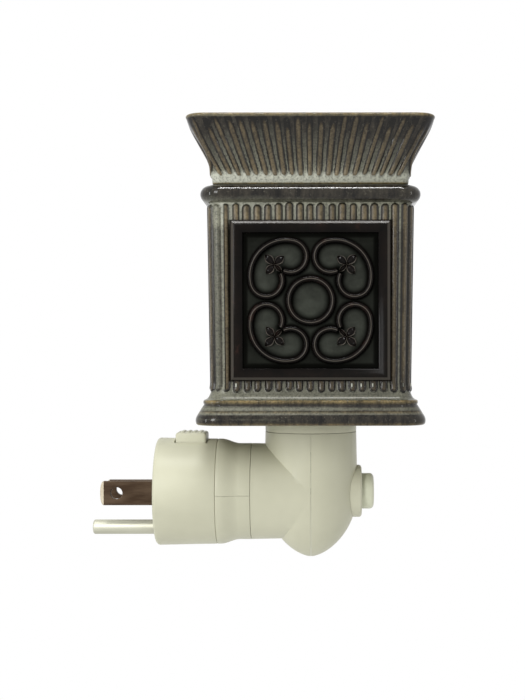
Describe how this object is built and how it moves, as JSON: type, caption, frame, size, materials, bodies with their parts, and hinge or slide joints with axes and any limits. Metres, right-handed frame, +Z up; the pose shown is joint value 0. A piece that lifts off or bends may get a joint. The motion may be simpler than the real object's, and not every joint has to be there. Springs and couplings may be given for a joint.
{
  "type": "plug-in wax warmer",
  "caption": "Square reeded ceramic wax warmer with a lift-off flared dish, scroll plaques and an inner bulb, on a plastic elbow base with push switch and swivel plug.",
  "frame": {"origin": "middle of the plug face that meets the wall, on the plug's axis", "axes": "+Z up along the warmer, +X along the plug's axis away from the wall"},
  "size_m": [0.1108, 0.0768, 0.1411],
  "materials": {
    "ivory_plastic": "semi-gloss moulded ivory",
    "button_plastic": "semi-gloss moulded grey-green",
    "dark_plastic": "matte moulded",
    "pin_metal": "plated, lightly brushed",
    "blade_metal": "plated, satin",
    "contact_brass": "bright",
    "spring_steel": "drawn wire",
    "washer_rubber": "matte",
    "holder_plastic": "matte moulded",
    "bulb_metal": "plated",
    "bulb_glass": "clear",
    "lead_sleeve": "sleeved wire",
    "glaze": "mottled reactive glaze, glossy",
    "bronze": "dark burnished bronze"
  },
  "bodies": {
    "plug": {"plug_shell": "ivory_plastic", "blade_block": "dark_plastic", "neutral_blade": "blade_metal", "hot_blade": "blade_metal", "earth_pin": "pin_metal", "swivel_hub": "dark_plastic", "hot_ring": "contact_brass", "neutral_ring": "contact_brass", "lock_spring": "spring_steel"},
    "lock_button": {"lock_button": "ivory_plastic"},
    "base": {"collar_upper": "ivory_plastic", "collar_lower": "ivory_plastic", "brush_block": "dark_plastic", "hot_brush": "contact_brass", "neutral_brush": "contact_brass", "rear_housing": "ivory_plastic", "front_housing": "ivory_plastic", "switch_bezel": "ivory_plastic", "switch_body": "dark_plastic", "switch_spring": "spring_steel", "neck_collar": "ivory_plastic", "washer": "washer_rubber", "ring_nut": "holder_plastic", "socket_insulator": "holder_plastic", "socket_shell": "contact_brass", "centre_contact": "contact_brass", "hot_lead": "lead_sleeve", "neutral_lead": "lead_sleeve", "switched_lead": "lead_sleeve", "warmer_body": "glaze", "plaque_front": "bronze", "plaque_back": "bronze"},
    "switch_button": {"switch_button": "button_plastic"},
    "bulb": {"bulb_tip": "bulb_metal", "bulb_cap": "bulb_metal", "bulb_glass": "bulb_glass", "bulb_stem": "bulb_glass", "filament": "bulb_metal"},
    "wax_dish": {"wax_dish": "glaze"}
  },
  "joints": [
    {"name": "plug_swivel", "type": "hinge", "parent": "plug", "child": "base", "pos_m": [0.0223, 0, 0], "axis": [1, 0, 0], "range_deg": [-90, 90]},
    {"name": "lock_press", "type": "slide", "parent": "plug", "child": "lock_button", "axis": [0, 0, -1], "range_m": [0, 0.0012], "stiffness_N_per_m": 800, "deforming": ["lock_spring"]},
    {"name": "switch_press", "type": "slide", "parent": "base", "child": "switch_button", "axis": [-1, 0, 0], "range_m": [0, 0.002], "stiffness_N_per_m": 600, "deforming": ["switch_spring"]},
    {"name": "bulb_turn", "type": "hinge", "parent": "base", "child": "bulb", "pos_m": [0.05095, 0, 0.03], "axis": [0, 0, 1], "continuous": true},
    {"name": "dish_lift", "type": "slide", "parent": "base", "child": "wax_dish", "axis": [0, 0, 1], "range_m": [0, 0.06]}
  ]
}
